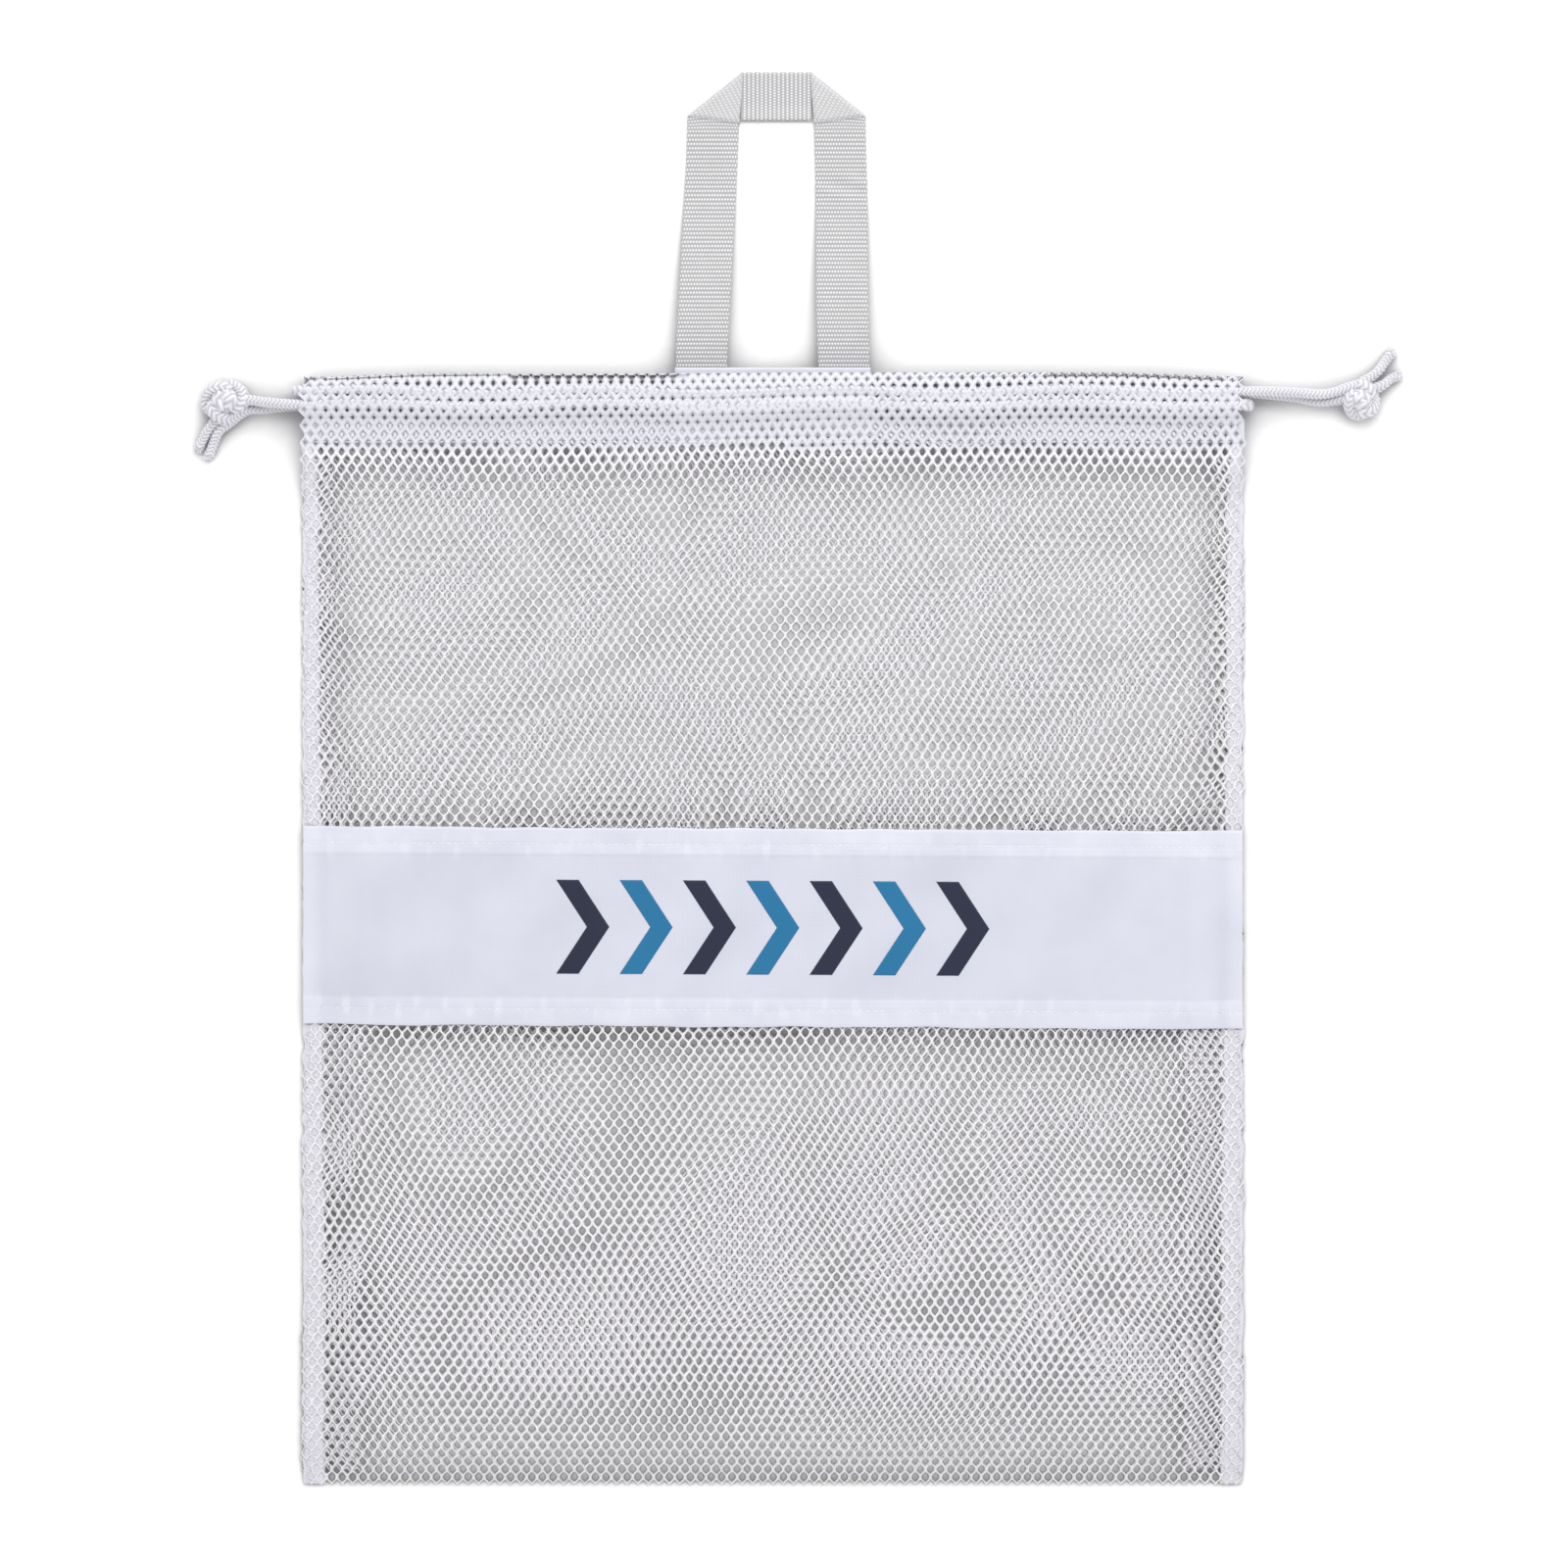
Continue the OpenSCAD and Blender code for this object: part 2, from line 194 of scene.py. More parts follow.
def slab(x, y, top, bottom):
    """A closed cloth from grids of x, y, top and bottom height, whose rows run along y: its
    vertices, its faces and how many of the last faces are edge walls."""
    rows, columns = x.shape
    upper = np.stack([x, y, top], -1).reshape(-1, 3)
    lower = np.stack([x, y, bottom], -1).reshape(-1, 3)
    n = len(upper)
    faces = grid_faces(rows, columns)
    rim = np.concatenate([
        np.arange(columns), np.arange(1, rows) * columns + columns - 1,
        np.arange(columns - 2, -1, -1) + (rows - 1) * columns,
        np.arange(rows - 2, 0, -1) * columns])
    after = np.roll(rim, -1)
    walls = np.stack([after, rim, rim + n, after + n], 1)
    verts = np.concatenate([upper, lower])
    return verts, np.concatenate([faces, faces[:, ::-1] + n, walls]), len(walls)


def slab_normals(verts, shape):
    """Normals for a slab's vertices from its upper and lower grids alone."""
    upper = verts[:len(verts) // 2].reshape(*shape, 3)
    normal = unit(np.cross(np.gradient(upper, axis=1), np.gradient(upper, axis=0)).reshape(-1, 3))
    normal *= np.sign(normal[:, 2:])
    return np.concatenate([normal, -normal])


# ---------------- materials
def new_material(name, color, rough, sheen=0.0):
    """A cloth shader; returns the material, its nodes, links and shader."""
    m = bpy.data.materials.new(name)
    m.use_nodes = True
    n, l = m.node_tree.nodes, m.node_tree.links
    shader = n["Principled BSDF"]
    values = {"Base Color": (*color, 1), "Roughness": rough, "Specular IOR Level": 0.3,
              "Sheen Weight": sheen, "Sheen Roughness": 0.4}
    for socket, value in values.items():
        shader.inputs[socket].default_value = value
    return m, n, l, shader


def map_range(n, l, value, start, end, low=0.0, high=1.0, smooth=True):
    """An output that goes from low to high as value goes from start to end."""
    node = n.new("ShaderNodeMapRange")
    if smooth:
        node.interpolation_type = "SMOOTHSTEP"
    values = {"From Min": start, "From Max": end, "To Min": low, "To Max": high}
    for socket, number in values.items():
        node.inputs[socket].default_value = number
    l.new(value, node.inputs["Value"])
    return node.outputs["Result"]


def math_node(n, l, operation, *values):
    """The output of a maths node; each value is a number or another node's output."""
    node = n.new("ShaderNodeMath")
    node.operation = operation
    for socket, value in zip(node.inputs, values):
        if isinstance(value, float):
            socket.default_value = value
        else:
            l.new(value, socket)
    return node.outputs["Value"]


def coordinate(n, l, kind, axis):
    """One axis of a texture coordinate."""
    coord, split = n.new("ShaderNodeTexCoord"), n.new("ShaderNodeSeparateXYZ")
    l.new(coord.outputs[kind], split.inputs["Vector"])
    return split.outputs[axis]


def relief_value(n):
    """The number that mesh_object() stored per vertex."""
    attribute = n.new("ShaderNodeAttribute")
    attribute.attribute_name = "relief"
    return attribute.outputs["Fac"]


def tinted(n, l, shader, dark, light, factor):
    """Base colour between dark and light by factor."""
    mix = n.new("ShaderNodeMix")
    mix.data_type = "RGBA"
    mix.inputs["A"].default_value = (*dark, 1)
    mix.inputs["B"].default_value = (*light, 1)
    l.new(factor, mix.inputs["Factor"])
    l.new(mix.outputs["Result"], shader.inputs["Base Color"])
    return mix.outputs["Result"]


def noise(n, l, scale, detail=3.0):
    """Noise in object space; scale is in features per metre."""
    coord, tex = n.new("ShaderNodeTexCoord"), n.new("ShaderNodeTexNoise")
    tex.inputs["Scale"].default_value = scale
    tex.inputs["Detail"].default_value = detail
    l.new(coord.outputs["Object"], tex.inputs["Vector"])
    return tex.outputs["Fac"]


def bump(n, l, shader, height, strength, distance):
    """Adds a fine bump on top of any that the shader has already."""
    node = n.new("ShaderNodeBump")
    node.inputs["Strength"].default_value = strength
    node.inputs["Distance"].default_value = distance
    l.new(height, node.inputs["Height"])
    old = shader.inputs["Normal"]
    if old.links:
        l.new(old.links[0].from_socket, node.inputs["Normal"])
    l.new(node.outputs["Normal"], shader.inputs["Normal"])


def yarn_material(name, dark, light):
    """Textured polyester yarn: fine filaments and slight colour variation."""
    m, n, l, shader = new_material(name, light, 0.55, sheen=0.25)
    tinted(n, l, shader, dark, light, noise(n, l, 260, 4))
    bump(n, l, shader, noise(n, l, 2600, 2), 0.35, 0.0002)
    return m


def woven_material(name, dark, light, rough, from_relief=False):
    """Fine plain weave: two crossed wave patterns."""
    thread_mm = 0.32
    m, n, l, shader = new_material(name, light, rough, sheen=0.15)
    if from_relief:
        blotch = math_node(n, l, "MULTIPLY_ADD", noise(n, l, 45, 3), 0.5, relief_value(n))
        tinted(n, l, shader, dark, light, blotch)
    else:
        tinted(n, l, shader, dark, light, noise(n, l, 18, 3))
    coord = n.new("ShaderNodeTexCoord")
    threads = []
    for axis in ("X", "Y"):
        wave = n.new("ShaderNodeTexWave")
        wave.bands_direction = axis
        wave.inputs["Scale"].default_value = 1 / (thread_mm * MM) / 20
        wave.inputs["Distortion"].default_value = 0.4
        l.new(coord.outputs["Object"], wave.inputs["Vector"])
        threads.append(wave.outputs["Fac"])
    bump(n, l, shader, math_node(n, l, "MULTIPLY", *threads), 0.25, 0.00012)
    bump(n, l, shader, noise(n, l, 55, 3), 0.2, 0.0006)
    return m


def relief_shade_material(name, dark, light, rough):
    """Raised weave or braid: the mesh's own relief value sets how deep a point is and paints shade
    into its hollows, which come out darker.
    """
    m, n, l, shader = new_material(name, light, rough, sheen=0.2)
    color = tinted(n, l, shader, dark, light, relief_value(n))
    tone = n.new("ShaderNodeMix")
    tone.data_type = "RGBA"
    tone.blend_type = "MULTIPLY"
    tone.inputs["Factor"].default_value = 1.0
    l.new(color, tone.inputs["A"])
    l.new(map_range(n, l, noise(n, l, 120, 3), 0.0, 1.0, 0.94, 1.03, smooth=False), tone.inputs["B"])
    l.new(tone.outputs["Result"], shader.inputs["Base Color"])
    bump(n, l, shader, noise(n, l, 3200, 2), 0.3, 0.00015)
    return m


def print_material(name, color):
    """Flat screen print that lets the weave show through a little."""
    return woven_material(name, tuple(c * 0.85 for c in color), color, 0.5)


MESH = yarn_material("mesh yarn", (0.6, 0.59, 0.615), (0.71, 0.7, 0.725))
# Painted light: the back layer's yarn is lighter than the front's, against the shade the front layer
# casts on it.
LIGHTENED_BACK_MESH = yarn_material("back mesh yarn, painted light", (0.74, 0.73, 0.755), (0.84, 0.83, 0.855))
HEM_MESH = yarn_material("hem yarn", (0.53, 0.53, 0.585), (0.585, 0.585, 0.64))
# The hem's inner layers are lighter, for the light that thin cloth lets through to them.
FACING_MESH = yarn_material("facing yarn", (0.62, 0.62, 0.68), (0.68, 0.68, 0.74))
INNER_MESH = yarn_material("inner yarn", (0.78, 0.78, 0.84), (0.86, 0.86, 0.92))
SEAM_CLOTH = yarn_material("seam cloth", (0.53, 0.525, 0.58), (0.6, 0.595, 0.645))
BAND_CLOTH = woven_material("band cloth", (0.44, 0.447, 0.52), (0.57, 0.577, 0.65), 0.42,
                            from_relief=True)
# Painted shade: the patch cloth is darker than white, for the shade it lies in beside the hem.
SHADED_PATCH_CLOTH = woven_material("patch cloth, painted shade", (0.54, 0.54, 0.61), (0.59, 0.59, 0.66), 0.5)
THREAD = yarn_material("thread", (0.66, 0.66, 0.72), (0.76, 0.76, 0.81))
# The dark colours of the webbing and the braid are painted shade in their hollows.
WEBBING = relief_shade_material("webbing", (0.26, 0.257, 0.265), (0.72, 0.717, 0.728), 0.45)
BRAID = relief_shade_material("braid", (0.37, 0.365, 0.4), (0.66, 0.653, 0.695), 0.45)
INK_DARK = print_material("dark ink", (0.013, 0.017, 0.04))
INK_BLUE = print_material("blue ink", (0.012, 0.14, 0.29))


# ---------------- camera, light and floor
def in_scene(name, data):
    """A new object in the scene."""
    obj = bpy.data.objects.new(name, data)
    bpy.context.scene.collection.objects.link(obj)
    return obj


def camera():
    """Straight above; picture_w is what it takes in at hem height."""
    picture_w, middle_x, middle_y = 769.0, 5.5, -2.6
    data = bpy.data.cameras.new("camera")
    data.lens = 135
    data.sensor_width = 36
    cam = in_scene("camera", data)
    distance = picture_w * data.lens / data.sensor_width
    cam.location = (middle_x * MM, middle_y * MM, (distance + HEM_H) * MM)
    bpy.context.scene.camera = cam


def key_light():
    """A large soft lamp beyond the bag's top, aimed at its middle."""
    data = bpy.data.lights.new("key", "AREA")
    data.shape = "SQUARE"
    data.size = 1.5
    data.energy = 21
    lamp = in_scene("key", data)
    lamp.location = (0.2, 1.15, 1.4)
    lamp.rotation_euler = (-lamp.location).to_track_quat("-Z", "Y").to_euler()


def floor_material():
    """Pale floor with painted shade: an ambient occlusion node greys it where the bag covers it, and
    it greys further towards the bag's bottom."""
    m, n, l, shader = new_material("floor", (0.85, 0.85, 0.85), 0.8)
    shade_occlusion = n.new("ShaderNodeAmbientOcclusion")
    shade_occlusion.samples = 6
    shade_occlusion.inputs["Distance"].default_value = 0.02
    # Painted shadow under the bag: the floor greys where the occlusion node finds the bag above it.
    under = map_range(n, l, shade_occlusion.outputs["AO"], 0.8, 0.5)
    # Painted shade, darker towards the bottom of the bag.
    depth = map_range(n, l, coordinate(n, l, "Object", "Y"), -0.1, -0.34, 0.72, 1.0)
    painted_shade = math_node(n, l, "MULTIPLY", under, depth)
    # The painted shade's colour: grey in place of the pale floor.
    tinted(n, l, shader, (0.85, 0.85, 0.85), (0.3, 0.295, 0.305), painted_shade)
    return m


def surroundings():
    """Soft studio light and a large floor, just below the lowest point of the cords."""
    scene = bpy.context.scene
    scene.view_settings.view_transform = "Standard"
    world = bpy.data.worlds.new("studio")
    world.use_nodes = True
    n, l = world.node_tree.nodes, world.node_tree.links
    n["Background"].inputs["Color"].default_value = (1, 1, 1, 1)
    # A low ring of soft light: it rakes across the net and leaves its holes darker than the yarn.
    ring = map_range(n, l, coordinate(n, l, "Generated", "Z"), 0.55, 0.85, 1.75, 0.4)
    l.new(ring, n["Background"].inputs["Strength"])
    scene.world = world
    key_light()
    mesh = bpy.data.meshes.new("floor")
    mesh.from_pydata([(-6, -6, 0), (6, -6, 0), (6, 6, 0), (-6, 6, 0)], [], [(0, 1, 2, 3)])
    mesh.materials.append(floor_material())
    floor = in_scene("floor", mesh)
    floor.location = (0, 0, -0.0002)


camera()
surroundings()


# ---------------- cords
def distances(points):
    """How far along a line each of its points is."""
    return np.concatenate([[0], np.cumsum(np.linalg.norm(np.diff(points, axis=0), axis=1))])


def rings(path, angle):
    """Directions out of a path at each angle round it, for each of its points."""
    _, u, v = frames_along(path)
    return np.cos(angle)[:, None] * u[:, None] + np.sin(angle)[:, None] * v[:, None]


def thread_tube(paths, radius, sides=6):
    """Thin closed tubes along several paths of the same number of points."""
    verts, faces = [], []
    base = 0
    angle = np.arange(sides) * math.tau / sides
    for path in paths:
        n = len(path)
        size = radius * np.sqrt(np.clip(1 - np.linspace(-1, 1, n) ** 8, 0.05, 1))[:, None]
        verts.append((path[:, None] + size[..., None] * rings(path, angle)).reshape(-1, 3))
        faces.append(grid_faces(n, sides, wrap=True) + base)
        for row, sign in ((0, -1), (n - 1, 1)):
            k = base + row * sides + np.arange(sides)
            faces.append(k[[[0, 1, 2, 3], [0, 3, 4, 5]]][:, ::sign])
        base += n * sides
    return np.concatenate(verts), np.concatenate(faces)


def smooth_path(points, step):
    """A Catmull-Rom curve through the points, resampled evenly."""
    p = np.array(points, float)
    p = np.concatenate([[2 * p[0] - p[1]], p, [2 * p[-1] - p[-2]]])
    fine = []
    for a, b, c, d in zip(p, p[1:], p[2:], p[3:]):
        t = np.linspace(0, 1, 24, endpoint=False)[:, None]
        fine.append(0.5 * (2 * b + (c - a) * t + (2 * a - 5 * b + 4 * c - d) * t ** 2
                           + (3 * b - a - 3 * c + d) * t ** 3))
    return resample(np.concatenate(fine + [p[-2:-1]]), step)


def resample(points, step):
    """The same line with its points about step apart."""
    lengths = distances(points)
    n = max(2, round(lengths[-1] / step) + 1)
    s = np.linspace(0, lengths[-1], n)
    return np.stack([np.interp(s, lengths, points[:, i]) for i in range(3)], 1)


def frames_along(path):
    """Tangents and two normals along a path, carried without twist."""
    tangent = unit(np.gradient(path, axis=0))
    u = unit(np.cross(tangent[0], (0, 0, 1.0)))
    normals = []
    for t in tangent:
        u = unit(u - (u @ t) * t)
        normals.append(u)
    u = np.array(normals)
    return tangent, u, np.cross(tangent, u)


def braid_relief(angle, s, columns, pitch):
    """Height from 0 to 1 of a round braid: columns of plaits that lean in turn to either side."""
    place = angle / math.tau * columns
    column = np.floor(place)
    across = place - column
    lean = np.where(column % 2 == 0, 1.0, -1.0)
    phase = s / pitch + lean * (across - 0.5) * 0.9
    plait = np.abs(np.cos(math.pi * phase)) ** 1.5
    return plait * (1 - 0.3 * (2 * across - 1) ** 4)


def cord_mesh(path, diameter, sides, columns=6, pitch=2.0, squeeze=1.0):
    """A braided tube along a path: vertices, faces and relief; the braid material paints shade where
    the relief is low.
    """
    tangent = frames_along(path)[0]
    s = distances(path)
    angle = np.arange(sides) * math.tau / sides
    relief = braid_relief(angle[None, :], s[:, None], columns, pitch)
    radius = diameter / 2 * (0.87 + 0.15 * relief) * squeeze
    ring = rings(path, angle)
    # The cut end flares a little.
    near_end = ease((s - s[-1] + 3.0) / 3.0)[:, None]
    radius = radius * (1 + near_end * (0.08 + 0.1 * np.sin(5 * angle + 1)[None, :]))
    verts = [(path[:, None] + radius[..., None] * ring).reshape(-1, 3)]
    faces = [grid_faces(len(path), sides, wrap=True)]
    # Each end closes with a shallow dome of smaller rings, and quads across the smallest.
    dome = ((0.8, 0.3), (0.45, 0.5), (0.08, 0.55))
    base = len(path) * sides
    for row, sign in ((0, -1), (len(path) - 1, 1)):
        last = np.arange(sides) + row * sides
        for share, push in dome:
            tip = path[row] + sign * tangent[row] * push
            verts.append(tip + share * radius[row][:, None] * ring[row])
            ids = base + np.arange(sides)
            quads = np.stack([last, np.roll(last, -1), np.roll(ids, -1), ids], 1)
            faces.append(quads[:, ::sign])
            base += sides
            last = ids
        i = np.arange(sides // 2 - 1)
        quads = np.stack([last[i], last[i + 1], last[sides - 2 - i], last[sides - 1 - i]], 1)
        faces.append(quads[:, ::sign])
    values = np.append(relief, np.full(2 * len(dome) * sides, 0.5))
    return np.concatenate(verts), np.concatenate(faces), values


def knot_curve(shift, turn, scale):
    """One strand of a doubled overhand knot about the origin: two turns that weave over and under
    themselves, shifted off the middle of the pair. It comes in from +X and leaves towards -X -Y;
    turn=-1 is that turned half round."""
    size, swing, rise = 4.35, 1.6, 3.4
    travel = np.radians(np.linspace(0, 690, 64))
    phase = math.pi + 1.5 * travel
    angle = math.radians(-75) - travel
    r = size - swing * np.cos(phase)
    curve = np.stack([1.06 * r * np.cos(angle), 0.94 * r * np.sin(angle), -rise * np.sin(phase)], 1)
    across = unit(np.cross(unit(np.gradient(curve, axis=0)), (0, 0, 1.0)))
    # The pair lies side by side, and stands on edge only where it passes the middle.
    tilt = (math.pi / 2 * (0.5 + 0.5 * np.cos(phase)) ** 2)[:, None]
    curve = curve + shift * (np.cos(tilt) * across + np.sin(tilt) * np.array([0, 0, 1.0]))
    curve[:, :2] *= np.array(scale)
    return np.stack([turn * curve[:, 0], turn * (curve[:, 1] + 1.0), curve[:, 2] - 1.9], 1)


def relaxed(path, rounds):
    """The path with its kinks smoothed out; its ends stay."""
    path = path.copy()
    for _ in range(rounds):
        path[1:-1] += 0.5 * ((path[:-2] + path[2:]) / 2 - path[1:-1])
    return path


def fray(name, at, direction, seed, body):
    """Loose fibres at a cord's cut end."""
    r = np.random.default_rng(seed)
    paths = []
    for _ in range(26):
        spread = r.normal(0, 1, 3)
        spread = unit(spread - (spread @ direction) * direction)
        root = at - 0.6 * direction + spread * r.uniform(0.3, 2.2)
        length, splay = r.uniform(1.6, 3.4), r.uniform(0.1, 0.75)
        t = np.linspace(0, 1, 7)[:, None]
        path = root + direction * length * t + spread * splay * length * t ** 2
        path = path + r.normal(0, 0.12, 3) * np.sin(t * 5)
        path[:, 2] = np.maximum(path[:, 2], 0.25)
        paths.append(path)
    verts, faces = thread_tube(paths, 0.16)
    return mesh_object(name, verts, faces, THREAD, body)


def strand(name, side, height, lead, tail, shift, scale):
    """One free strand: from inside the tunnel, out of the hem, through the knot, to its cut end."""
    body = f"{NAME[side]}_pull"
    exit_at = np.array([side * HALF_W, CORD_Y[side], height])
    centre = np.array([*exit_at[:2], 0]) + KNOT_AT[side]
    inside = [(-9 * side, 0, 0), (-4.5 * side, 0, 0)]
    knot = knot_curve(shift, -side, scale)
    route = np.concatenate([exit_at + (inside + lead[:-1]), centre + knot, centre + tail[1:]])
    path = resample(relaxed(smooth_path(route, 0.5), 14), 0.34)
    in_knot = np.exp(-(np.linalg.norm(path[:, :2] - centre[:2], axis=1) / 11) ** 6)
    fuller = 1 + 0.45 * scale[0] * in_knot
    path[:, 2] = np.maximum(path[:, 2], CORD_D / 2 * 1.03 * fuller + 0.05)
    verts, faces, relief = cord_mesh(path, CORD_D, 40, squeeze=fuller[:, None])
    piece = mesh_object(name, verts, faces, BRAID, body, values=relief)
    direction = unit(path[-1] - path[-6])
    tuft = fray(f"{name}_fray", path[-1], direction, len(name) + int(shift), body)
    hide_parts(f"{NAME[side]}_knot")


def cord_drift(x):
    """How far the cords in the hem wander from straight: four waves, each about as long as the
    cords' stroke, so that the two still lie side by side when one is pulled."""
    return 1.1 * np.sin(math.tau * 4 * (x - HALF_W) / (2 * HALF_W))


def channel_cord(side):
    """The loop of a drawcord inside the hem: front tunnel, far turn, back tunnel."""
    y = CORD_Y[side]
    turn_r = (CORD_HIGH - CORD_LOW) / 2
    start = side * (HALF_W - 8)
    far = -side * (HALF_W + TURN_OUT - CORD_D / 2 - turn_r)
    x = np.linspace(start, far, 160)
    angle = np.linspace(math.pi / 2, -math.pi / 2, 16)[1:-1]
    mid = (CORD_HIGH + CORD_LOW) / 2
    front = np.stack([x, y + cord_drift(x), CORD_HIGH + 0 * x], 1)
    turn_x = far - side * turn_r * np.cos(angle)
    turn = np.stack([turn_x, y + 0 * angle, mid + turn_r * np.sin(angle)], 1)
    back = front[::-1] - [0, 0, CORD_HIGH - CORD_LOW]
    path = resample(np.concatenate([front, turn, back]), 0.8)
    verts, faces, relief = cord_mesh(path, CORD_D, 20, columns=4, pitch=3.2)
    # Pressed by the hem, the cord is a little wider than it is high.
    middle = y + cord_drift(verts[:, 0])
    verts[:, 1] = middle + (verts[:, 1] - middle) * 1.2
    name = NAME[side]
    piece = mesh_object(f"{name}_channel_cord", verts, faces, BRAID, f"{name}_pull",
                        values=relief)
    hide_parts(f"{name}_drawcord")


def cords():
    """Four strands, two from each side, and the two loops in the hem."""
    shift = 2.5
    left, right = (1.08, 1.0), (0.74, 0.9)
    strand("left_strand_front", -1, CORD_HIGH, LEFT_FRONT_LEAD, LEFT_TAIL_A, shift, left)
    strand("left_strand_back", -1, CORD_LOW, LEFT_BACK_LEAD, LEFT_TAIL_B, -shift, left)
    strand("right_strand_front", 1, CORD_HIGH, RIGHT_FRONT_LEAD, RIGHT_TAIL_A, -shift, right)
    strand("right_strand_back", 1, CORD_LOW, RIGHT_BACK_LEAD, RIGHT_TAIL_B, shift, right)
    channel_cord(-1)
    channel_cord(1)


cords()


# ---------------- the bag's shape
def front_mid(x, y):
    """Height of the middle of the front cloth: flat on top, down to the seams and the fold."""
    inward = 1 - ease((np.abs(x) - SIDE_X) / (SEAM_X - SIDE_X))
    rise = ease((y - (Y_HEM - RISE_W)) / RISE_W)
    up = ease((y - FOLD_Y) / (Y_FOLD - FOLD_Y))
    share = up * (1 - (1 - inward) * (1 - rise))
    calm = ease((Y_HEM - y) / 40) * inward * up
    crease = 0.9 * bell(y - 20 - 0.02 * x, 8)
    sag = 0.9 + waves(x, y, 3, 0.7, 150) + waves(x, y, 4, 0.25, 60) + crease
    pressed = (LOW_MID - CLOTH / 2 - 2 * FOLD_R) * (1 - ease((y - FOLD_Y) / 9))
    return LOW_MID + (HIGH_MID - LOW_MID) * share - calm * np.clip(sag, 0, 2.6) - pressed


class Profile:
    """A line in the YZ plane, measured along its length; its left-hand side is outward."""

    def __init__(self, points):
        p = np.array(points, float)
        self.p = p[np.append(True, np.diff(distances(p)) > 1e-6)]
        self.s = distances(self.p)
        self.t = unit(np.gradient(self.p, self.s, axis=0))

    def at(self, s):
        """The place and the outward direction at length s."""
        y, z = (np.interp(s, self.s, self.p[:, i]) for i in (0, 1))
        ty, tz = (np.interp(s, self.s, self.t[:, i]) for i in (0, 1))
        size = np.hypot(ty, tz)
        return y, z, -tz / size, ty / size

    def length(self):
        return self.s[-1]


# The hem's turned top edge: its radius and where it starts
TURN_R = 1.7
TURN_Y = Y_TOP - CLOTH / 2 - TURN_R


def hem_line(base):
    """The hem's cloth from its lower edge over the cords to the start of its turn."""
    y = np.linspace(Y_HEM, Y_TOP - 1.9, 90)
    full = base + HEM_H - CLOTH / 2 - 1.0
    z = base + 1.5 * CLOTH + (full - base - 1.5 * CLOTH) * ease((y - Y_HEM - 10) / 8)
    z = z - 0.6 * bell(y - CORDS_MIDDLE, 1.1)
    z = z - (full - base - CLOTH / 2 - 3.4) * ease((y - RIGHT_Y - 2.2) / 5.0)
    return np.stack([y, z], 1)


def hem_turn_line(base):
    """The turned top edge, from the swollen layer down to the flat layer."""
    a = np.radians(np.linspace(90, -90, 13))
    return np.stack([TURN_Y + TURN_R * np.cos(a), base + CLOTH / 2 + TURN_R + TURN_R * np.sin(a)], 1)


def net_mesh(u, v, place, hole_size, seed=1):
    """Net cells with centres u, v, placed by place(u, v, out) -> x, y, z; hole_size scales each
    cell's hole."""
    r = np.random.default_rng(seed)
    n = len(u)
    jitter = r.normal(0, 0.05, (n, 8, 2))
    scale = (hole_size * (1 + r.normal(0, 0.02, n)))[:, None, None]
    centre = np.stack([u, v], 1)[:, None]
    hole = (centre + (HOLE * scale + jitter)).reshape(-1, 2)
    corners = (centre + TILE).reshape(-1, 2)
    # Neighbours share their corners.
    key = np.round(corners * 50).astype(np.int64)
    _, first, inverse = np.unique(key, axis=0, return_index=True, return_inverse=True)
    corners = corners[first]
    m = len(corners)
    layers = ((hole, 0), (corners, CLOTH / 2), (corners, -CLOTH / 2))
    verts = np.concatenate([np.stack(place(*at.T, np.full(len(at), out)), 1) for at, out in layers])
    ring, edge = np.arange(8 * n).reshape(n, 8), 8 * n + inverse.reshape(n, 8)
    ring_next, edge_next = np.roll(ring, -1, 1), np.roll(edge, -1, 1)
    upper = np.stack([ring, edge, edge_next, ring_next], -1).reshape(-1, 4)
    lower = np.stack([ring_next, m + edge_next, m + edge, ring], -1).reshape(-1, 4)
    # An edge that only one cell has gets a wall.
    a, b = edge.ravel(), edge_next.ravel()
    code = np.minimum(a, b) * (8 * n + m) + np.maximum(a, b)
    _, position, count = np.unique(code, return_index=True, return_counts=True)
    free = position[count == 1]
    a, b = a[free], b[free]
    walls = np.stack([b, a, m + a, m + b], 1)
    # The yarn is shaded round: from straight up on its ridge to the middle of the hole.
    up = verts[8 * n:8 * n + m] - verts[8 * n + m:]
    inward = np.stack(place(u, v, np.zeros(n)), 1).repeat(8, 0) - verts[:8 * n]
    normals = unit(np.concatenate([inward, up, -up]))
    return verts, np.concatenate([upper, lower, walls]), normals


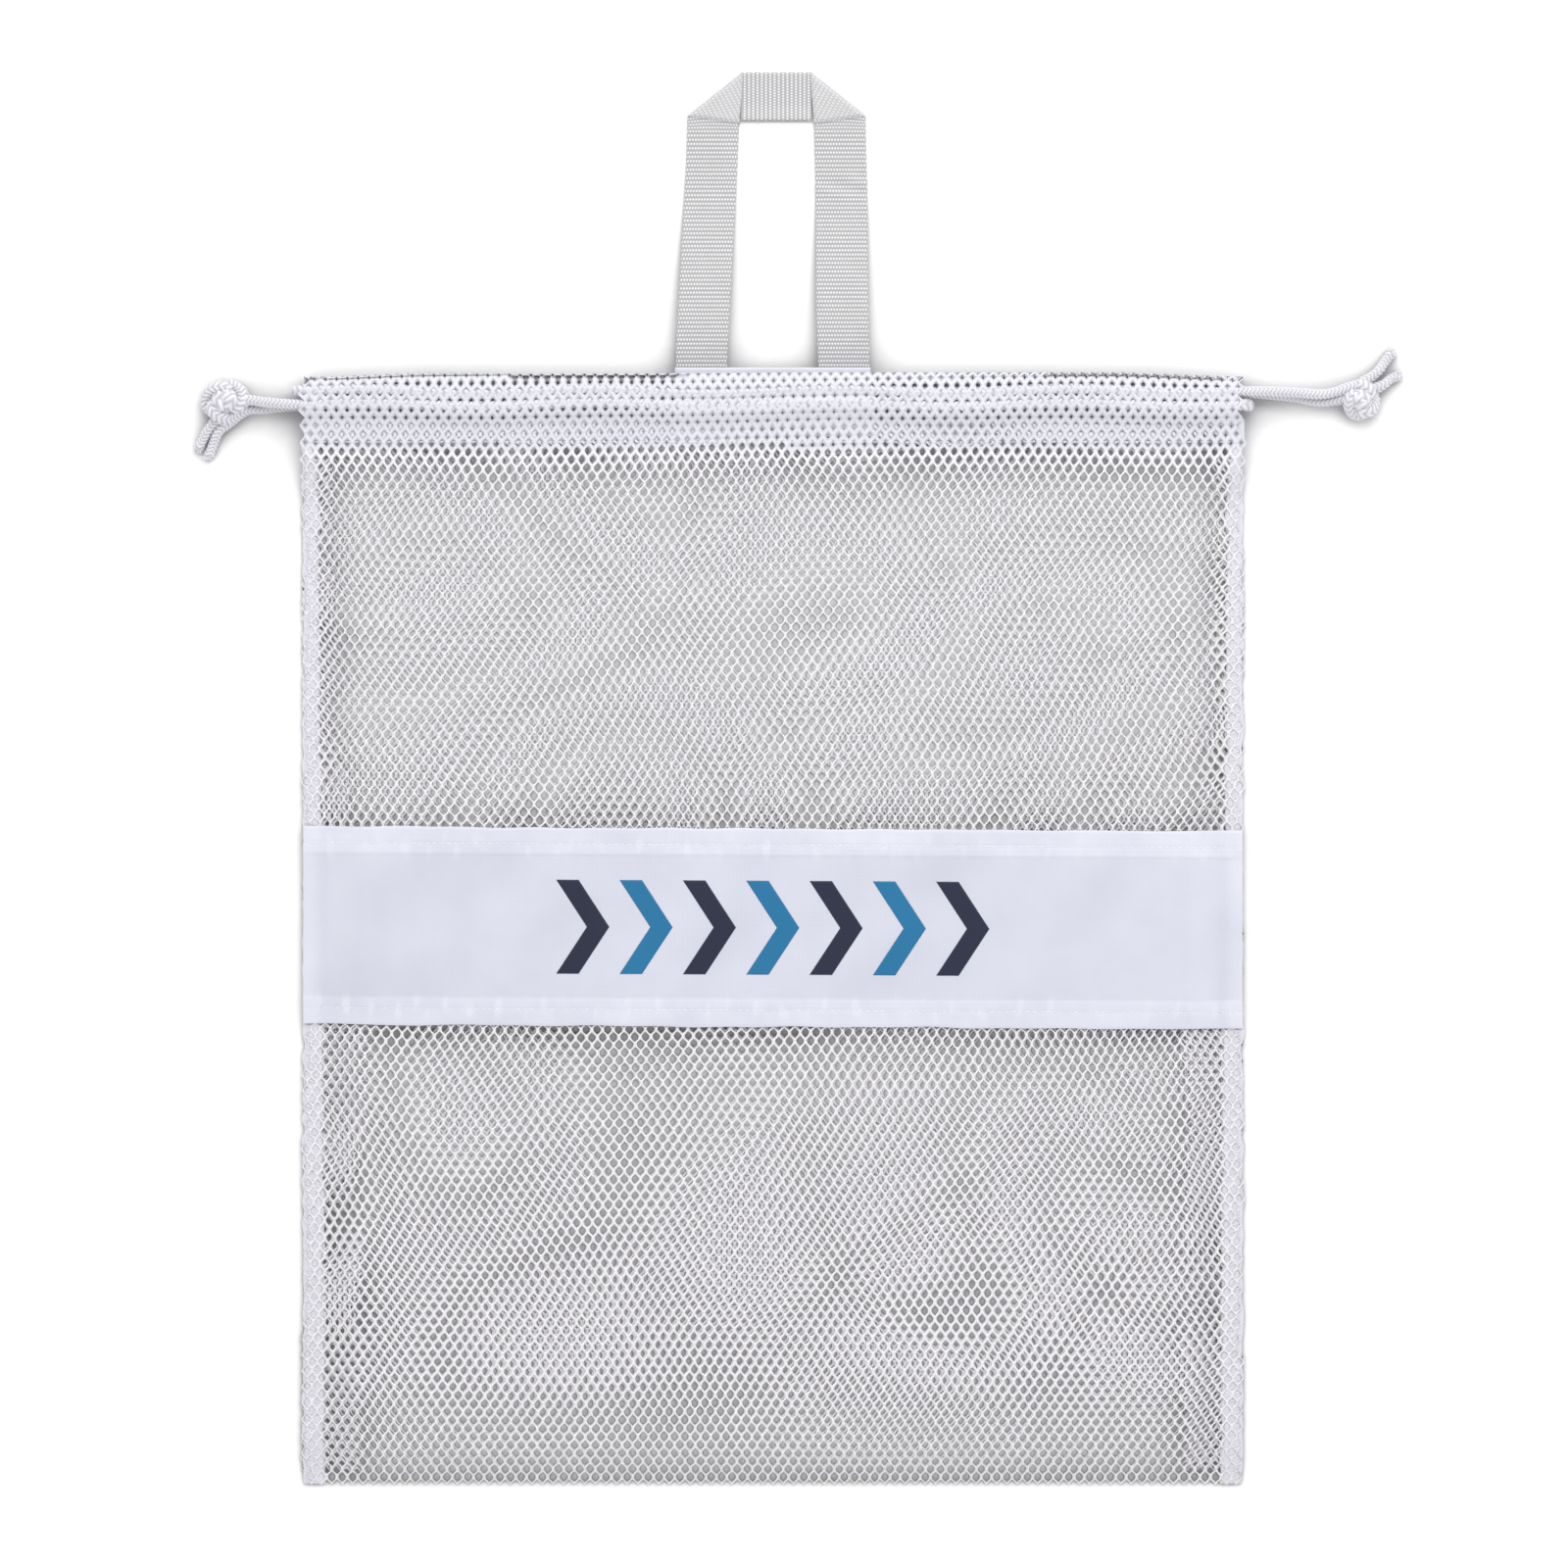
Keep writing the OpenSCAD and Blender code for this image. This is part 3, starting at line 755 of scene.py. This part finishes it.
class Net:
    """A sheet of net laid along a profile. A smooth warp moves its cells, so the bag's two layers
    line up in one place and cross in another."""

    def __init__(self, line, seed, drift, surface, fold_at=0.0):
        self.line, self.seed, self.drift = line, seed, drift
        self.surface, self.fold_at = surface, fold_at
        # Rows are counted from the fold, so that front and back match there.
        rows = np.arange(-math.ceil(fold_at / PITCH_Y) - 3,
                         math.ceil((line.length() - fold_at) / PITCH_Y) + 4)
        columns = np.arange(-math.ceil(HALF_W / PITCH_X) - 4, math.ceil(HALF_W / PITCH_X) + 5)
        r, c = grid(rows, columns)
        self.u = ((c + 0.5 * (r % 2) + 0.25) * PITCH_X).ravel()
        self.v = (r * PITCH_Y + fold_at).ravel()
        self.su, self.sv = self.warp(self.u, self.v)

    def warp(self, u, v):
        """Where a point of the net comes to lie, across and along the sheet."""
        off = np.abs(v - self.fold_at) if self.fold_at else v
        still = ease(off / 105) if self.fold_at else 1.0
        du = waves(u, off, self.seed, 1.2, 240) + still * waves(u, v, self.seed + 2, self.drift, 230)
        dv = waves(u, v, self.seed + 1, self.drift, 210) * still
        return u + du, v + dv

    def place(self, u, v, out):
        """Where a point of the net is in the bag, out from the middle of the cloth."""
        u, v = self.warp(u, v)
        y, z, ny, nz = self.line.at(v)
        return self.surface(u, v, y, z, ny, nz, out)

    def piece(self, name, side, keep, hole, material, slot, flat, nodes):
        """The cells in keep on one side of the bag, as a closed piece of net."""
        mine = keep & ((self.u > 0) == (side > 0))
        u, v = self.u[mine], self.v[mine]
        size = hole(self.su[mine], self.line.at(self.sv[mine])[0])
        verts, faces, normals = net_mesh(u, v, self.place, size, self.seed + (side > 0))
        piece = mesh_object(f"{name}_{NAME[side]}", verts, faces, material,
                            normals=normals)
        gather(piece)
        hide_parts(*nodes)

    def lay(self, name, low, high, hole, material, slot, *nodes, limit=NET_X):
        """The length of cloth from low to high, as a left and a right piece."""
        keep = (self.sv >= low) & (self.sv < high) & (np.abs(self.su) < limit)
        flat = (limit + PITCH_X / 2, high - low + PITCH_Y)
        for side in (-1, 1):
            self.piece(name, side, keep, hole, material, slot, flat, nodes)


def panel_holes(x, y):
    """Holes are tighter low on the bag, at its seams and below the hem, and wide at the fold."""
    low = ease((-60 - y) / 220) * (1 - 1.2 * ease((-285 - y) / 40))
    seam = ease((np.abs(x) - SEAM_X + 4) / 6)
    hem = ease((y - Y_HEM + 16) / 14)
    return (1.1 - 0.12 * low) * (1 - 0.12 * seam) * (1 - 0.24 * hem)


def hem_places(x):
    """How near a place is to the hem's ends, and to the patch, from 0 to 1."""
    return ease((np.abs(x) - HALF_W + 60) / 50), ease((PATCH_HIGH[0] + 2 - np.abs(x)) / 3)


def hem_holes(x, y):
    """The hem's net closes up towards its ends, which are turned in and stitched."""
    end = ease((np.abs(x) - HALF_W + 15) / 9)
    near, over_patch = hem_places(x)
    slope = bell(y - Y_TOP + 21, 3.5)
    top = ease((y - Y_TOP + 7.5) / 4)
    groove = bell(y - CORDS_MIDDLE, 1.8)
    size = 0.68 - 0.22 * end - 0.06 * near - 0.26 * over_patch
    return np.maximum(size - 0.26 * slope - 0.34 * top - 0.26 * groove, 0.24)


def facing_holes(x, y):
    """The turned-in cloth is dense, most of all at the patch."""
    near, over_patch = hem_places(x)
    return 0.26 - 0.06 * near - 0.14 * over_patch


def end_droop(x, y):
    """The hem's top corners sit a little lower than its middle."""
    return 2.0 * ease((np.abs(x) - HALF_W + 70) / 70) * ease((y - Y_TOP + 14) / 14)


def back_sheet():
    """One sheet: back facing, turned edge, back hem, back panel, bottom fold, lower front."""
    facing = hem_line(0)
    turn = hem_turn_line(0)
    back = np.stack([np.linspace(TURN_Y, FOLD_Y, 300), np.full(300, CLOTH / 2)], 1)
    a = np.radians(np.linspace(270, 90, 13))
    fold = np.stack([FOLD_Y + FOLD_R * np.cos(a), CLOTH / 2 + FOLD_R + FOLD_R * np.sin(a)], 1)
    front_y = np.linspace(FOLD_Y, BAND_LOW[1] + 9, 200)
    front = np.stack([front_y, front_mid(0 * front_y, front_y)], 1)
    line = Profile(np.concatenate([facing, turn, back, fold, front]))
    s_fold = line.s[np.argmin(line.p[:, 0])]
    s_facing = line.s[len(facing)]
    s_back = s_facing + math.pi * TURN_R + (TURN_Y - Y_HEM)
    # The front stretches where it climbs from the fold, so its rows stay over the back's.
    climb = (line.s > s_fold) & (line.p[:, 0] > FOLD_Y)
    line.s[climb] = line.s[climb][0] + line.p[climb, 0] - line.p[climb, 0][0]

    def surface(u, v, y, z, ny, nz, out):
        on_front = (v > s_fold) & (y > FOLD_Y)
        z = np.where(on_front, front_mid(u, y), z)
        return u, y + ny * out - end_droop(u, y), z + nz * out

    net = Net(line, 21, 2.2, surface, fold_at=s_fold)
    net.lay("back_facing_net", 1.5, s_facing, facing_holes, INNER_MESH, "hem_mesh",
            "back_hem_facing", limit=FACING_X)
    net.lay("back_hem_net", s_facing, s_back, facing_holes, INNER_MESH, "hem_mesh", "back_hem")
    net.lay("back_net", s_back, s_fold - 8, panel_holes, LIGHTENED_BACK_MESH, "mesh", "back_panel")
    net.lay("lower_front_net", s_fold - 8, line.length() - 1.5, panel_holes, MESH, "mesh",
            "lower_front_panel", "bottom_fold")


def front_sheet():
    """The other sheet: upper front, front hem, turned edge, front facing."""
    panel_y = np.linspace(BAND_HIGH[1] - 9, Y_HEM, 200)[:-1]
    panel = np.stack([panel_y, front_mid(0 * panel_y, panel_y)], 1)
    hem = hem_line(FRONT_Z)
    turn = hem_turn_line(FRONT_Z)
    facing = np.stack([np.linspace(TURN_Y, Y_HEM, 60), np.full(60, HIGH_MID)], 1)
    line = Profile(np.concatenate([panel, hem, turn, facing]))
    s_hem = line.s[len(panel)]
    s_turn = line.s[len(panel) + len(hem)]
    s_facing = s_turn + math.pi * TURN_R

    def surface(u, v, y, z, ny, nz, out):
        # Over the cords the net follows where they wander.
        sway = cord_drift(u) * ease((v - s_hem - 6) / 10) * ease((s_turn - v) / 6)
        hem_y, hem_z, ny, nz = line.at(v - sway)
        z = np.where(v < s_hem, front_mid(u, y), hem_z)
        y = np.where(v < s_hem, y, hem_y + sway)
        return u, y + ny * out - end_droop(u, y), z + nz * out

    net = Net(line, 41, 2.6, surface)
    net.lay("upper_front_net", 1.5, s_hem, panel_holes, MESH, "mesh", "upper_front_panel")
    net.lay("front_hem_net", s_hem, s_facing, hem_holes, HEM_MESH, "hem_mesh", "front_hem")
    net.lay("front_facing_net", s_facing, line.length() - 1.5, facing_holes, FACING_MESH, "hem_mesh",
            "front_hem_facing", limit=FACING_X)


def seam_width(y):
    """How far the cut edges of the layers reach in from the side seam's outer edge."""
    return 8.5 + 3.0 * ease((Y_HEM - y) / 480)


def seam_allowances():
    """The turned-in edge of the net inside each side seam, seen through the front."""
    line = Profile([(y, 0.0) for y in np.linspace(Y_BOTTOM + 6, Y_HEM - 4, 200)])

    def surface(u, v, y, z, ny, nz, out):
        lean = 0.0024 * (v - 250)
        return u + lean, y, front_mid(u, y) - 0.95 + out

    net = Net(line, 61, 2.0, surface)
    y = line.at(net.sv)[0]
    reach = 7 + 12 * ease((120 - y) / 260) + waves(y, 0 * y, 65, 2.2, 90)
    keep = (net.sv > 0) & (net.sv < line.length()) & (np.abs(net.su) < NET_X)
    keep &= np.abs(net.su) > HALF_W - seam_width(y) - reach
    for side in (-1, 1):
        net.piece("seam_allowance_net", side, keep, lambda x, y: 0.92 + 0 * x, MESH, "mesh",
                  (30, line.length()), [f"{NAME[side]}_side_seam"])


back_sheet()
front_sheet()
seam_allowances()


# ---------------- threads and side seams
# One lockstitch: places along it, and how deep it dips there
STITCH = np.linspace(0, 1, 6)
STITCH_DIP = 0.3 * (2 * STITCH - 1) ** 4


def stitching(name, paths, radius, side, node):
    """A row of stitches; side 0 is a row that stays still."""
    verts, faces = thread_tube(paths, radius)
    piece = mesh_object(name, verts, faces, THREAD, None if side else "root")
    if side:
        gather(piece)
    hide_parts(node)


def side_seam(side):
    """The rolled, overlocked edges of both layers, with a wavy outer edge, just under the net."""
    rows = np.arange(Y_BOTTOM + 0.6, Y_HEM + 14, 0.7)
    y, a = grid(rows, np.linspace(0, 1, 19))
    inner = HALF_W - seam_width(y) + waves(y, 0 * y, 51, 0.6, 14)
    outer = HALF_W - 0.7 + waves(y, 0 * y, 53 + side, 0.5, 9)
    x = inner + (outer - inner) * a
    crown = np.sqrt(np.clip(1 - (2 * a - 1) ** 4, 0, 1))
    mid = front_mid(np.abs(x), np.minimum(y, Y_HEM))
    knit = 0.07 * np.sin(x * math.tau / 1.3) * np.sin(y * math.tau / 1.7)
    lumps = waves(x * 3, y, 55 + side, 0.12, 9)
    bottom = 0.75 + 0 * y
    top = np.maximum(mid - 0.04 + knit + 0.6 * lumps, bottom + 0.3)
    middle = (top + bottom) / 2
    top = middle + (top - middle) * crown
    bottom = middle - (middle - bottom) * crown
    verts, faces, _ = slab(side * x, y, top, bottom)
    piece = mesh_object(f"{NAME[side]}_seam_roll", verts, faces[:, ::side], SEAM_CLOTH)
    gather(piece)
    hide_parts(f"{NAME[side]}_side_seam")


def overlock(side):
    """Overlock thread: loops across the seam, all along it."""
    paths = []
    for y0, y1 in ((Y_BOTTOM + 2, BAND_LOW[1] - 1), (BAND_HIGH[1] + 1, Y_HEM - 2)):
        for y in np.arange(y0, y1 - 3.2, 3.2):
            t = np.linspace(0, 1, 7)
            x = SEAM_X + 0.6 + (HALF_W - SEAM_X - 1.8) * t
            yy = y + 2.4 * t
            z = front_mid(x, yy) + 0.3 - 0.6 * (2 * t - 1) ** 6
            paths.append(np.stack([side * x, yy, z], 1))
    name = NAME[side]
    stitching(f"{name}_overlock", paths, 0.15, side, f"{name}_seam_stitching")


for s in (-1, 1):
    side_seam(s)
    overlock(s)


# ---------------- band and print
# The band's lean, the depth turned in, and how far from its edge it is stitched
BAND_TILT = -0.0054
FOLDED = 13.0
STITCH_IN = 8.0


def band_height(x, y):
    """Height of the band's upper face, with folded edges and puckers along its stitching."""
    from_edge = np.minimum(y - BAND_LOW[1], BAND_HIGH[1] - y)
    folded = 0.3 * ease((FOLDED + 0.5 - from_edge) / 0.5)
    near_stitch = bell(from_edge - STITCH_IN, 4.5)
    pucker = near_stitch * (waves(x, y * 0.3, 61, 0.2, 10) + waves(x, y * 0.4, 62, 0.16, 26))
    groove = -0.2 * bell(from_edge - STITCH_IN, 0.6)
    broad = waves(x, y, 63, 0.2, 60) * ease(from_edge / 10)
    base = front_mid(x, y) + CLOTH / 2 + 0.7
    return base + folded + pucker + groove + broad


def band(side):
    """One half of the woven band, with its folded edges."""
    rows = np.linspace(BAND_LOW[1], BAND_HIGH[1], 140)
    y, x = grid(rows, np.linspace(0, HALF_W - 0.9, 260))
    edge = np.minimum(y - BAND_LOW[1], BAND_HIGH[1] - y)
    x = side * x
    top = band_height(x, y)
    top = top - 0.35 * (2 - ease(edge / 0.9) - ease((HALF_W - 0.9 - np.abs(x)) / 0.9))
    bottom = front_mid(x, y) + CLOTH / 2 + 0.02
    wander = waves(x, y, 64, 0.25, 45)
    # Where there are two layers of cloth less of the net shows through, so it is lighter.
    double = ease((FOLDED + 0.4 - edge) / 0.8)
    over_seam = ease((np.abs(x) - HALF_W + 12) / 9)
    puckers = np.clip(waves(x, y * 0.35, 66, 1.0, 9) - 0.55, 0, 1) * bell(edge - 9, 5)
    shade = 0.22 + 0.3 * double + 0.42 * over_seam + 0.5 * puckers + waves(x, y, 67, 0.1, 60)
    verts, faces, walls = slab(x, y + BAND_TILT * x + wander * (1 - ease(edge / 12)), top, bottom)
    values = np.clip(np.tile(shade.ravel(), 2), 0, 1)
    piece = mesh_object(f"band_{NAME[side]}", verts, faces[:, ::side], BAND_CLOTH,
                        walls=walls, values=values,
                        normals=slab_normals(verts, x.shape))
    gather(piece)
    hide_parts("printed_band", "band_side_ends")


def band_stitches(side, upper):
    """A row of lockstitches that dip into the cloth at their ends."""
    y = BAND_HIGH[1] - STITCH_IN if upper else BAND_LOW[1] + STITCH_IN
    paths = []
    for x0 in np.arange(1.0, HALF_W - 4, 3.4):
        x = side * (x0 + 2.7 * STITCH)
        z = band_height(x, y + 0 * x) + 0.12 - STITCH_DIP
        paths.append(np.stack([x, y + BAND_TILT * x, z], 1))
    edge = "top" if upper else "bottom"
    stitching(f"band_{edge}_stitches_{NAME[side]}", paths, 0.2, side, f"band_{edge}_stitching")


def band_print():
    """Chevrons laid on the band's surface."""
    low, high = span("band_print")
    count, pitch = 7, 31.0
    width = (high[0] - low[0]) - (count - 1) * pitch
    height, stroke = high[1] - low[1], 11.0
    middle = (low[1] + high[1]) / 2
    for i in range(count):
        centre = (i - (count - 1) / 2) * pitch
        t, s = grid(np.linspace(-1, 1, 57), np.linspace(0, 1, 13))
        x = centre - width / 2 + (width - stroke) * (1 - np.abs(t)) + stroke * s
        y = middle + t * height / 2
        rise = band_height(x, y)
        verts, faces, _ = slab(x, y + BAND_TILT * x, rise + 0.07, rise - 0.1)
        ink = INK_DARK if i % 2 == 0 else INK_BLUE
        piece = mesh_object(f"band_print_{i + 1}", verts, faces, ink, "root")
        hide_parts("band_print")


for s in (-1, 1):
    band(s)
    band_stitches(s, True)
    band_stitches(s, False)
band_print()


# ---------------- hem stitching
def hem_stitches(side, base, limit, name):
    """A row of stitches along the hem's raw edge."""
    z = base + 2 * CLOTH + 0.1 - STITCH_DIP
    paths = [np.stack([side * (x0 + 2.5 * STITCH), Y_HEM + 1.8 + 0 * z, z], 1)
             for x0 in np.arange(1.0, limit - 4, 3.2)]
    stitching(f"{name}_stitches_{NAME[side]}", paths, 0.2, side, f"{name}_stitching")


for s in (-1, 1):
    hem_stitches(s, FRONT_Z, HALF_W, "front_hem")
    hem_stitches(s, 0, FACING_X, "back_hem")


# ---------------- patch
def patch_height(x, y):
    return PATCH_HIGH[2] - 0.12 + waves(x, y, 71, 0.1, 40)


def patch():
    """The piece sewn over the strap ends, its edges turned in, and its stitches."""
    low, high = PATCH_LOW, PATCH_HIGH
    y, x = grid(np.linspace(low[1], high[1], 60), np.linspace(low[0], high[0], 130))
    edge = np.minimum.reduce([y - low[1], high[1] - y, x - low[0], high[0] - x])
    top = patch_height(x, y) - 0.3 * (1 - ease(edge / 0.8)) + 0.12 * ease((7 - edge) / 0.7)
    verts, faces, _ = slab(x, y, top, low[2] + 0.02 + 0 * x)
    piece = mesh_object("strap_patch", verts, faces, SHADED_PATCH_CLOTH, "root")
    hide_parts("handle_patch")
    low, high = span("patch_stitching")
    rows = [(x0 + 2.5 * STITCH, y + 0 * STITCH) for y in (low[1] + 0.4, high[1] - 0.4)
            for x0 in np.arange(low[0], high[0] - 2, 3.2)]
    rows += [(x + 0 * STITCH, y0 + 2.5 * STITCH) for x in (low[0] + 0.4, high[0] - 0.4)
             for y0 in np.arange(low[1], high[1] - 2, 3.2)]
    paths = [np.stack([x, y, patch_height(x, y) + 0.25 - STITCH_DIP], 1) for x, y in rows]
    stitching("patch_stitches", paths, 0.2, 0, "patch_stitching")


patch()


# ---------------- handle
STRAP_W = 25.0
STRAP_T = STUB_HIGH[2] - STUB_LOW[2]
BASE_HALF, TOP_HALF = STUB_HIGH[0], 43.5
CORNER_Y, MITRE_X = STRAP_HIGH[1] - 21.5, 27.0
BAR_Y = STRAP_HIGH[1] - STRAP_W
FALL_START, FALL_L = STRAP_LOW[1], 88.0
CREASE_Y = 291.0
# Weave: a row's height, a float's length, and the distance between vertices
WEAVE_ROW, WEAVE_FLOAT, WEAVE_STEP = 2.1, 1.42, 0.31


def weave(u, v):
    """Height from 0 to 1 of the webbing: rows of short floats, every other row offset."""
    row = np.floor(v / WEAVE_ROW)
    du = np.mod(u / WEAVE_FLOAT + 0.5 * np.mod(row, 2), 1) - 0.5
    dv = np.mod(v / WEAVE_ROW, 1) - 0.5
    float_ = np.exp(-(np.abs(du) / 0.33) ** 3 - (np.abs(dv) / 0.33) ** 3)
    return np.clip(float_ + 0.12 * np.cos(dv * math.tau * 2), 0, 1)


def handle_sway(x, y):
    """The handle leans a little to one side as it lies."""
    return x + 1.9 * ease((y - HINGE[1]) / 110)


def strap_mid(y):
    """Height of the middle of the webbing: on the hem, then down to the surface."""
    high, low = STUB_LOW[2] + STRAP_T / 2, STRAP_T / 2
    return high + (low - high) * ease((y - FALL_START) / FALL_L)


def webbing_slab(name, x, y, mid, u, v, body=None):
    """A piece of webbing with woven relief on both faces and rolled edges."""
    edge = np.minimum(u, STRAP_W - u)
    lip = ease(edge / 0.8)
    up, down = weave(u, v), weave(u + 0.7, v + 1.05)
    half = STRAP_T / 2
    top = mid + (half - 0.34) * lip + 0.32 * up * lip
    bottom = mid - (half - 0.34) * lip - 0.32 * down * lip
    verts, faces, _ = slab(handle_sway(x, y), y, top, bottom)
    # The weave's height also goes to the webbing material, which paints shade into its hollows.
    return mesh_object(name, verts, faces, WEBBING, body, values=np.append(up, down))


def handle_leg(side):
    """One leg of the loop, from its sewn end to the folded corner."""
    rows = np.arange(STUB_LOW[1], CORNER_Y + 1.0, WEAVE_STEP)
    y, across = grid(rows, np.linspace(0, STRAP_W, 82))
    lean = (BASE_HALF - TOP_HALF) / (CORNER_Y - Y_TOP)
    outer = BASE_HALF - lean * np.maximum(y - Y_TOP, 0) + waves(y, 0 * y, 81 + side, 0.12, 60)
    inner = outer - STRAP_W
    x = inner + across if side > 0 else -(outer - across)
    mid = strap_mid(y)
    crease = bell(y - CREASE_Y, 5) if side > 0 else 0
    mid = mid + crease * 0.35 * np.sin((y + 0.35 * across) / 1.9)
    # The last rows draw together under the folded corner and bow.
    tight = ease((y - CORNER_Y + 8) / 8)
    bow = 1.1 * np.sin(math.pi * across / STRAP_W) * tight
    piece = webbing_slab(f"handle_leg_{NAME[side]}", x, y + bow, mid, across, y + 2.5 * tight)
    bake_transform(piece)
    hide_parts("handle_strap_ends", "handle_strap")


def handle_top():
    """The bar between the two corners, and the corners."""
    half = TOP_HALF - MITRE_X + 1.0
    across, x = grid(np.linspace(0, STRAP_W, 82), np.arange(-half, half, WEAVE_STEP))
    # It rolls up at its inner edge, so from above it looks narrower.
    y = STRAP_HIGH[1] - 0.02 - (STRAP_W - across) * 0.94
    roll = 1.2 * ease((9 - across) / 9)
    piece = webbing_slab("handle_bar", x, y, STRAP_T / 2 + roll, across, x, "handle")
    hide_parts("handle_strap")
    for side in (-1, 1):
        mitre_fold(side)


def mitre_fold(side):
    """The folded corner: a triangle two layers thick, its weave on the slant."""
    a = np.array([TOP_HALF + 0.1, CORNER_Y])
    b = np.array([TOP_HALF - MITRE_X, STRAP_HIGH[1]])
    c = np.array([TOP_HALF - STRAP_W - 0.2, BAR_Y])
    t, s = grid(np.linspace(0, 1, 96), np.linspace(0, 1, 96))
    # From the inner corner c out to the folded edge a-b
    edge = a + (b - a) * s[..., None]
    x, y = np.moveaxis(c + (edge - c) * (0.02 + 0.98 * t[..., None]), -1, 0)
    angle = math.radians(62)
    along = x * math.cos(angle) + y * math.sin(angle)
    off = -x * math.sin(angle) + y * math.cos(angle)
    relief = weave(along, off)
    border = np.minimum.reduce([s * t * 25, (1 - s) * t * 25, (1 - t) * 20])
    lip = ease(border / 1.6)
    top = STRAP_T + 0.15 + 0.75 * lip + 0.22 * relief * lip
    bottom = 0.05 + 0.3 * (1 - lip)
    verts, faces, _ = slab(handle_sway(side * x, y), y, top, bottom + 0 * x)
    # The weave's height also paints shade into its hollows, over a narrower range.
    values = 0.26 + 0.42 * np.tile(relief.ravel(), 2)
    piece = mesh_object(f"handle_fold_{NAME[side]}", verts, faces[:, ::-side], WEBBING,
                        "handle", values=values)
    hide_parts("handle_strap")


for s in (-1, 1):
    handle_leg(s)
handle_top()
